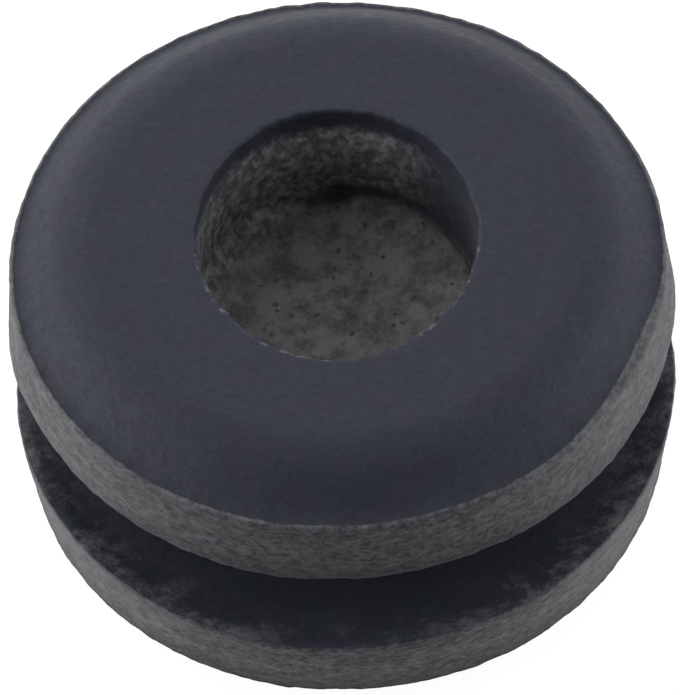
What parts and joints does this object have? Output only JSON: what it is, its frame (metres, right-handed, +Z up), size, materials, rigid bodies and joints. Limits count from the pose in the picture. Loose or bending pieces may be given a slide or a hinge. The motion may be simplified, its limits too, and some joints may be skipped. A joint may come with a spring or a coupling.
{
  "type": "rubber grommet",
  "caption": "Closed round rubber grommet that snaps into a panel hole, with two flanges, a panel groove and a recess in each end closed by a web.",
  "frame": {"origin": "centre of the lower end face, which the grommet stands on", "axes": "+Z up along the grommet's own axis, from the lower end face to the upper; the grommet is round, so X and Y are free"},
  "size_m": [0.014, 0.014, 0.008],
  "materials": {
    "black_rubber": "matt moulded black rubber, smooth and slightly blue on the end faces and shoulders, rough and greyer on the outer bands and inside the recesses"
  },
  "bodies": {
    "root": {"grommet": "black_rubber"}
  },
  "joints": []
}
